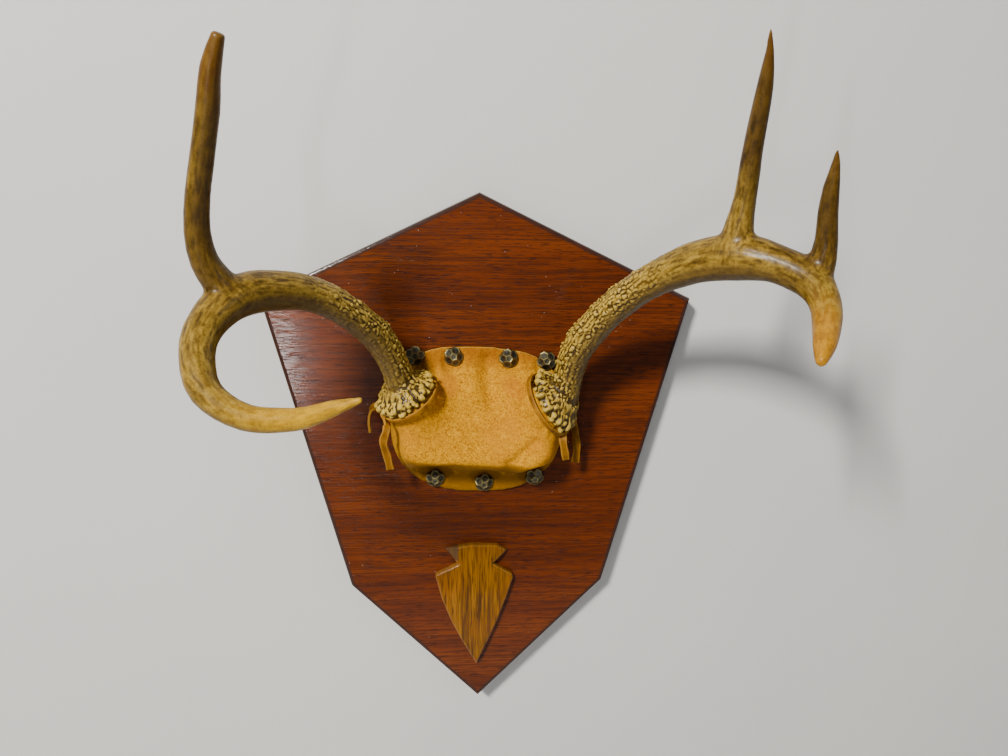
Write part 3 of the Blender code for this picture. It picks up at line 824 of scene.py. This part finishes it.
def with_thin_rim(places, burr):
    """The places with the burr's rim drawn in, to leave room for its beads."""
    radius, height, offset = burr_spots(places, burr)
    core = CORE_RADIUS * burr[2]
    rim = (np.abs(height) < RIM_HEIGHT) & (radius > core)
    axis = np.array(burr[1])
    outward = offset - height[:, None] * axis
    kept = (core + (radius - core) * CORE_SHARE) / np.maximum(radius, 0.1)
    drawn = np.array(burr[0]) + height[:, None] * axis + outward * kept[:, None]
    return np.where(rim[:, None], drawn, places)


def branch_relief(places, normals, lines, on_burr, pearled, seed):
    """How far each place is pushed out, its grain and how rough it is, blended at forks."""
    parts = [straightened(places, branch_line(line)) for line in lines]
    closeness = np.exp(-np.array([far for _, far in parts]) / BLEND_REACH)
    shares = closeness / closeness.sum(axis=0)
    push, grain, rough_all = np.zeros((3, len(places)))
    for k, (spots, _) in enumerate(parts):
        used = shares[k] > 0.02
        rough = np.zeros(len(places))
        if k == 0:  # the main beam
            start, end, side = pearled
            towards = normals @ np.array(Vector(side).normalized())
            even = 0.3 + 0.7 * ease(towards, -0.35, 0.35)
            rough = ease(spots[:, 2], end, start) * even * (1 - on_burr)
        pearl, streak, swell = np.zeros((3, len(places)))
        values = pattern_values(spots[used], rough[used], seed + 3 * k)
        pearl[used], streak[used], swell[used] = values
        raised = rough * PEARL_DEPTH * (ease(pearl, 0.05, 0.95) - PEARL_FOOT)
        least, on_rough, on_beads = GRAIN_DEPTH
        carved = (least + on_rough * rough + on_beads * on_burr) * streak
        push += shares[k] * (raised + carved + SWELL_DEPTH * swell)
        grain += shares[k] * streak
        rough_all += shares[k] * rough
    return push, grain, rough_all


def relief_and_tones(skin, lines, burr, pearled, tones, crown, seed):
    """Raises the pearls and grain, then stores what the material needs at each corner."""
    places, normals = places_of(skin), normals_of(skin)
    radius, height, _ = burr_spots(places, burr)
    on_burr = ease(height, 9, 4) * ease(radius, 9, 11)
    push, grain, rough = branch_relief(places, normals, lines, on_burr, pearled, seed)
    tip_fade = np.ones(len(places))
    for place, reach, *_ in tones:
        tip_fade *= ease(distances(places, place), 2, 0.6 * reach)
    push *= 0.25 + 0.75 * tip_fade
    places = places + normals * push[:, None]
    set_places(skin, places)
    edges = numbers_of(skin.data.edges, "vertices", 2, np.int32)
    soft = blurred(places, edges, WEAR_ROUNDS)
    lifted = np.einsum("ni,ni->n", places - soft, normals_of(skin))
    # Painted shade: under marks the faces that turn downwards or to the right, broken up by the
    # grain.
    under = ease(-normals[:, 2] + 0.25 * normals[:, 0] + 0.3 * grain, -0.05, 0.75)
    keep_as(skin, "wear", np.clip(0.5 + lifted * WEAR_GAIN, 0, 1))
    keep_as(skin, "grain", np.clip(0.5 + 0.42 * grain, 0, 1))
    keep_as(skin, "pearled", np.clip(np.maximum(rough, on_burr) + 0.15, 0, 1))
    keep_as(skin, "crown", on_burr * crown)
    keep_as(skin, "under", under)
    # The darkest of these tones, on the tines, is partly their own brown and partly painted
    # shade.
    for tone in ("ivory", "amber", "rust", "umber_and_shade"):
        amount = np.zeros(len(places))
        for place, reach, kind, most in tones:
            if kind == tone:
                away = distances(places, place) + 9 * grain
                amount = np.maximum(amount, most * ease(away, reach, reach * 0.35))
        keep_as(skin, tone, amount)


def antlers(surface):
    """Both antlers; a tone is given as place, reach, kind and the most of it there."""
    lengths = ("beam_base", "g2_tine", "beam_tip")
    forks = ((-126, -124, 124), (-131, -135, 105))
    pearled = (60, 118, (0.7, -0.1, 0.7))
    tones = (
        (LEFT_LINES[0][-1], 77, "ivory", 0.95),
        (LEFT_LINES[1][-1], 36, "rust", 0.75),
        # These two darken the left tine and its fork: partly its own brown, partly painted shade.
        ((-131, -131, 150), 50, "umber_and_shade", 0.75),
        ((-121, -149, 190), 45, "umber_and_shade", 0.65),
    )
    antler("left", lengths, LEFT_LINES, LEFT_BURR, forks, pearled, tones, 1, 4, surface)
    lengths = ("beam_base", "g2_tine", "beam_middle", "g3_tine", "beam_tip")
    forks = ((119.5, -124, 146), (136, -138, 135), (151, -150, 134), (149, -157, 122))
    pearled = (70, 140, (-0.5, -0.5, 0.7))
    tones = (
        (RIGHT_LINES[0][-1], 50, "amber", 0.95),
        (RIGHT_LINES[1][-1], 24, "rust", 0.7),
        # The darker brown tones on the right tines are partly their own colour and partly painted
        # shade.
        ((117, -147, 205), 52, "umber_and_shade", 0.95),
        (RIGHT_LINES[2][-1], 14, "rust", 0.6),
        ((149, -155, 160), 42, "umber_and_shade", 0.95),
    )
    antler("right", lengths, RIGHT_LINES, RIGHT_BURR, forks, pearled, tones, 0.5, 9, surface)


# Leather cover


def near_segment(places, start, end):
    """How far each place is from a line between two points on the board's face."""
    flat = places[:, (0, 2)]
    a, b = np.array(start), np.array(end)
    along = np.clip((flat - a) @ (b - a) / ((b - a) @ (b - a)), 0, 1)
    return np.linalg.norm(flat - a - along[:, None] * (b - a), axis=1)


def softened_cover():
    """The cover's solid as a fine mesh, rounded off but for its hem and under the burrs."""
    cover = from_frame("leather_sheet", "leather_cover")
    remesh(cover, SHEET_VOXEL)
    places = places_of(cover)
    inland = ease(places[:, 1], BOARD_FACE - 2.4, BOARD_FACE - 7)
    under_rims = np.ones(len(places))
    for burr in (LEFT_BURR, RIGHT_BURR):
        radius, along, _ = burr_spots(places, burr)
        under_rims *= 1 - 0.85 * ease(radius, 24, 19) * ease(along, -15, -8)
    smooth(cover, SOFTENING_ROUNDS, vertex_group=weigh(cover, "inland", inland * under_rims))
    cover.vertex_groups.clear()
    return cover


def open_back(cover):
    """Takes off the faces that lie on the board, and evens the hem that is left."""
    with editing(cover):
        bpy.ops.mesh.select_all(action="DESELECT")
    for face in cover.data.polygons:
        face.select = face.normal.y > 0.5 and face.center.y / MM > BOARD_FACE - 1.6
    bpy.ops.object.mode_set(mode="EDIT")
    bpy.ops.mesh.delete(type="FACE")
    bpy.ops.object.mode_set(mode="OBJECT")
    low = ease(places_of(cover)[:, 1], BOARD_FACE - 4, BOARD_FACE - 2)
    smooth(cover, 10, use_y=False, vertex_group=weigh(cover, "hem", low))
    cover.vertex_groups.clear()


def creases(places, ripple):
    """How far the sheet stands out at each place: folds, gathers at the collars, ripple."""
    height = BOARD_FACE - places[:, 1]
    push = np.zeros(len(places))
    for start, end, width, rise in FOLDS:
        push += rise * np.exp(-((near_segment(places, start, end) / width) ** 2))
    push *= ease(height, 1.8, 3.5)
    for burr in (LEFT_BURR, RIGHT_BURR):
        axis = burr[1]
        radius, along, offset = burr_spots(places, burr)
        side = axis.orthogonal().normalized()
        turn = np.arctan2(offset @ np.array(axis.cross(side)), offset @ np.array(side))
        gather = sum(share * np.sin(count * turn + start) for count, start, share in GATHER_WAVES)
        on_collar = ease(along, -20, -9) * ease(along, -3.6, -6) * ease(radius, 26, 20)
        push += GATHER_DEPTH * gather * on_collar
    return push + RIPPLE_DEPTH * ripple * ease(height, 2.5, 5)


def leather_tones(cover, places, normals, ripple):
    """Stores where the suede is flushed, soiled or cut, and where it is rubbed smoother and
    darkened as painted shade.
    """
    height = BOARD_FACE - places[:, 1]
    facing = -normals[:, 1]
    # Painted shade: faces that turn downwards low on the dome, and the hem below it, are marked
    # for darkening, as if the light from above missed them.
    under = ease(-normals[:, 2], 0.3, 0.7) * ease(places[:, 2], 18, 8)
    low_hem = ease(places[:, 2], 7, -2) * ease(height, 15, 7)
    top_hem = ease(places[:, 2], 58, 70) * ease(height, 10, 4)
    flush = np.zeros(len(places))
    for x, z, reach in FLUSHES:
        away = np.hypot(places[:, 0] - x, places[:, 2] - z)
        flush = np.maximum(flush, ease(away + 2 * ripple, reach, reach * 0.2))
    # Stored as rubbed: smoother suede that is also darkened as painted shade.
    keep_as(cover, "rubbed", np.maximum(under, low_hem))
    keep_as(cover, "flush", flush)
    keep_as(cover, "soil", np.clip(0.85 * top_hem + 0.15 * ripple, 0, 1))
    keep_as(cover, "cut", ease(height, 3.0, 2.0) * ease(facing, 0.7, 0.3))


def leather_cover(surface):
    """The suede as one stretched sheet over the skull plate, tied round both pedicles."""
    cover = softened_cover()
    open_back(cover)
    work(cover, "SUBSURF", levels=1, render_levels=1)
    set_places(cover, pressed_by_nails(places_of(cover)))
    smooth(cover, 3)
    places, normals = places_of(cover), normals_of(cover)
    ripple = np.array([noise.fractal(Vector(p) / RIPPLE_SIZE, 0.9, 2.0, 3) for p in places])
    places = places + normals * creases(places, ripple)[:, None]
    set_places(cover, places)
    leather_tones(cover, places, normals, ripple)
    work(cover, "SOLIDIFY", thickness=LEATHER_THICKNESS * MM, offset=-1)
    smooth_shade(cover, 60)
    finish_piece(cover, surface, "leather", "leather_cover")


def pressed_by_nails(places):
    """The sheet drawn down to the board round every nail, in a soft dimple."""
    height = BOARD_FACE - places[:, 1]
    slope, power = DIMPLE_SLOPE
    for x, z, _ in TOP_NAILS + BOTTOM_NAILS:
        away = np.hypot(places[:, 0] - x, places[:, 2] - z)
        room = NAIL_SEAT - DIMPLE_SINK + slope * np.maximum(0, away - NAIL_RADIUS) ** power
        height = np.where(away < DIMPLE_REACH, np.minimum(height, room), height)
    places = places.copy()
    places[:, 1] = BOARD_FACE - height
    return places


# Laces


def thong(name, route, surface):
    """A flat thong along (place, direction of its width) pairs, with softened edges."""
    last = len(route) - 1
    least, varied, often = LOOSE_WIDTH
    grid = bpy.ops.mesh.primitive_grid_add
    piece = basic(grid, x_subdivisions=LACE_COLUMNS, y_subdivisions=last, size=2)
    piece.name = piece.data.name = "tied_" + name
    edge = np.zeros(len(piece.data.vertices))
    for corner in piece.data.vertices:
        row = round((corner.co.y + 1) / 2 * last)
        across = corner.co.x
        place, wide = route[row]
        ahead = (route[min(row + 1, last)][0] - route[max(row - 1, 0)][0]).normalized()
        wide = (wide - wide.dot(ahead) * ahead).normalized()
        wrapped = abs(row - last / 2) < WRAPPED_SHARE * last
        taper = WRAPPED_WIDTH if wrapped else least + varied * math.sin(row * often) ** 2
        cup = LACE_CUP * (1 - across**2) * ahead.cross(wide)
        corner.co = (place + wide * across * taper * LACE_WIDTH / 2 + cup) * MM
        edge[corner.index] = abs(across) > 0.9
    keep_as(piece, "cut", edge)
    work(piece, "SOLIDIFY", thickness=LACE_THICKNESS * MM, offset=0)
    soften(piece, 0.3, 30)
    tidy_mesh(piece)
    smooth_shade(piece, 50)
    finish_piece(piece, surface, "lace", name)
    return piece


def lace(name, burr, outward, first_end, last_end, surface):
    """One thong: up its first end, round the collar under the burr, down its last end."""
    centre, axis, size = burr
    hub = centre + axis * (BURR_BOTTOM - LACE_SETBACK)
    out = (outward - outward.dot(axis) * axis).normalized()
    aside = axis.cross(out)
    radius = COLLAR_RADIUS * size + LACE_GAP + LACE_THICKNESS / 2
    turn = []
    for i in range(LACE_TURN_STEPS + 1):
        share = i / LACE_TURN_STEPS
        angle = share * (math.tau + 2 * LACE_OVERLAP) - LACE_OVERLAP
        reach = radius + share * LACE_RISE
        spot = hub + reach * (math.cos(angle) * out + math.sin(angle) * aside)
        turn.append((spot, axis))
    knots = [*first_end, *turn, *last_end]
    both = smooth_path([(*place, *across) for place, across in knots], LACE_STEP)
    route = [(Vector(s[:3]), Vector(s[3:])) for s in both]
    piece = thong(name, route, surface)


def laces(surface):
    """Both laces; each knot of a loose end is a place and the direction of the width there."""
    left, right = LEFT_BURR[1], RIGHT_BURR[1]
    left_back_end = [
        ((-67.5, -30.5, 25), ALONG_Y),
        ((-68, -30.5, 32), ALONG_Y),
        ((-67, -29.5, 37.5), ALONG_Y),
        ((-64.6, -27.3, 40.3), ALONG_Y + left),
        ((-61.2, -27.3, 41), left),
    ]
    left_front_end = [
        ((-56.2, -46.7, 33.8), left - ALONG_X),
        ((-56.6, -48.8, 30), -ALONG_X),
        ((-58.4, -47.5, 23), -ALONG_X),
        ((-56.4, -45, 13.5), -ALONG_X),
        ((-54.8, -44, 5), -ALONG_X),
    ]
    right_front_end = [
        ((52.8, -41.5, 9), ALONG_X),
        ((51.5, -44.3, 15), ALONG_X),
        ((50.2, -45.6, 21), ALONG_X),
        ((50, -44, 25.2), ALONG_X + right),
    ]
    right_back_end = [
        ((57.6, -23.8, 30.8), right),
        ((60, -20.9, 27), ALONG_X),
        ((61.2, -23, 21), ALONG_X),
        ((61.8, -27.5, 12.5), ALONG_X),
        ((60.8, -29, 3), ALONG_X),
    ]
    left_out, right_out = Vector((-1, 0, -0.6)), Vector((1, 0, -0.9))
    lace("lace_left", LEFT_BURR, left_out, left_back_end, left_front_end, surface)
    lace("lace_right", RIGHT_BURR, right_out, right_front_end, right_back_end, surface)


# Board, arrowhead, nails and hanger


def soften(piece, width, degrees=20):
    """Rounds a piece's edges that are sharper than this angle, by a width in millimetres."""
    limit = math.radians(degrees)
    work(piece, "BEVEL", width=width * MM, segments=2, limit_method="ANGLE", angle_limit=limit)


def cut_across(piece, place, direction, **side):
    """Cuts a piece's faces along a plane, and closes the cut if a side is cleared."""
    with editing(piece):
        bpy.ops.mesh.bisect(plane_co=Vector(place) * MM, plane_no=direction, **side)


def finish_flats(piece, surface, slot, node, width, degrees=20, flat_degrees=30):
    """Softens a flat-sided piece's edges and finishes it, with its large faces left flat."""
    soften(piece, width, degrees)
    smooth_shade(piece, flat_degrees)
    work(piece, "WEIGHTED_NORMAL", keep_sharp=True)
    finish_piece(piece, surface, slot, node)


def board(surface):
    piece = from_frame("shield_board", "board")
    merge_flats(piece)
    finish_flats(piece, surface, "board", "board", 0.35)


def ear_corners(piece, line):
    """A piece's corners on the ear beyond an upright line."""
    side = math.copysign(1, line)
    return [
        corner
        for corner in piece.data.vertices
        if corner.co.z / MM > EAR_FOOT and (corner.co.x / MM - line) * side > 0.01
    ]


def arrowhead(surface):
    """The oak arrowhead, with chips taken off its ears and its arrises softened."""
    piece = from_frame("oak_arrowhead", "arrowhead")
    merge_flats(piece)
    thickness = BOARD_FACE - (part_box("arrowhead")[0] / MM).y
    for line, depth in EAR_CHIPS:
        cut_across(piece, (line, 0, 0), (1, 0, 0))
        corners = ear_corners(piece, line)
        reach = max(abs(corner.co.x / MM - line) for corner in corners)
        for corner in corners:
            share = abs(corner.co.x / MM - line) / reach
            rise = BOARD_FACE - corner.co.y / MM
            if rise > 1:
                corner.co.y += depth * share * rise / thickness * MM
    tidy_mesh(piece)
    finish_flats(piece, surface, "arrowhead", "arrowhead", 0.3)


def nail_pattern(patina, brass):
    """A domed nail head with sunken panels between raised ridges, its rim in the plane Z = 0."""
    head = basic(bpy.ops.mesh.primitive_ico_sphere_add, subdivisions=1, radius=1)
    with editing(head):
        bpy.ops.mesh.bevel(offset=PANEL_CORNER, offset_type="OFFSET", affect="VERTICES")
    head.data.materials.append(brass)
    head.data.materials.append(patina)
    with editing(head):
        bpy.ops.mesh.inset(thickness=RIDGE_WIDTH, use_individual=True)
        bpy.ops.mesh.inset(thickness=PANEL_SLOPE, depth=-PANEL_DEPTH, use_individual=True)
        head.active_material_index = 1
        bpy.ops.object.material_slot_assign()
    crown = max(corner.co.z for corner in head.data.vertices)
    cut_across(head, (0, 0, PANEL_CUT / MM), (0, 0, 1), use_fill=True, clear_inner=True)
    wide = NAIL_RADIUS * MM / max(corner.co.xy.length for corner in head.data.vertices)
    tall = NAIL_HEIGHT * MM / (crown - PANEL_CUT)
    head.data.transform(Matrix.Translation((0, 0, -PANEL_CUT)))
    head.data.transform(Matrix.Diagonal((wide, wide, tall, 1)))
    tidy_mesh(head)
    soften(head, 0.13, 12)
    smooth_shade(head, 40)
    return head


def nails(patina, brass):
    """The seven nail heads, each turned its own way."""
    pattern = nail_pattern(patina, brass)
    draw = np.random.default_rng(11)
    for row, spots in (("top", TOP_NAILS), ("bottom", BOTTOM_NAILS)):
        for i, (x, z, lean) in enumerate(spots, start=1):
            node = f"nail_{row}_{i}"
            head = placed("domed_" + node, pattern.data.copy())
            tilt = Matrix.Rotation(math.radians(90 + lean), 4, "X")
            turn = Matrix.Rotation(draw.uniform(0, math.tau), 4, "Z")
            seat = Matrix.Translation(Vector((x, BOARD_FACE - NAIL_SEAT, z)) * MM)
            head.data.transform(seat @ tilt @ turn)
            finish_piece(head, None, "nails", node)
    bpy.data.objects.remove(pattern)


def hanger(surface):
    """The keyhole plate and its two slotted screws."""
    plate = from_frame("keyhole_plate", "hanger_plate")
    merge_flats(plate)
    finish_flats(plate, surface, "hanger", "hanger_plate", 0.2, 30)
    for node, angle in (("hanger_screw_upper", 35), ("hanger_screw_lower", -20)):
        screw = from_frame("slotted_" + node, node)
        low, high = (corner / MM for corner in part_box(node))
        top = Vector(((low.x + high.x) / 2, high.y, (low.z + high.z) / 2))
        slot = basic(bpy.ops.mesh.primitive_cube_add, size=1)
        sizes = Matrix.Diagonal((*(size * MM for size in SCREW_SLOT), 1))
        turn = Matrix.Rotation(math.radians(angle), 4, "Y")
        slot.data.transform(Matrix.Translation(top * MM) @ turn @ sizes)
        work(screw, "BOOLEAN", operation="DIFFERENCE", object=slot, solver="EXACT")
        bpy.data.objects.remove(slot)
        finish_flats(screw, surface, "hanger", node, 0.08, 30, 35)


def main():
    noise.seed_set(1)  # the clock seeds vector noise otherwise, and no two runs agree
    camera()
    laces(thong_leather())
    leather_cover(suede())
    antlers(bone())
    board(mahogany())
    arrowhead(oak())
    patina = bronze("bronze_patina", (0.075, 0.07, 0.052), (0.16, 0.15, 0.1), 0.38)
    brass = bronze("rubbed_brass", (0.24, 0.2, 0.085), (0.1, 0.088, 0.05), 0.42)
    nails(patina, brass)
    hanger(zinc())
    lights()
    backdrop(wall_paper())


main()
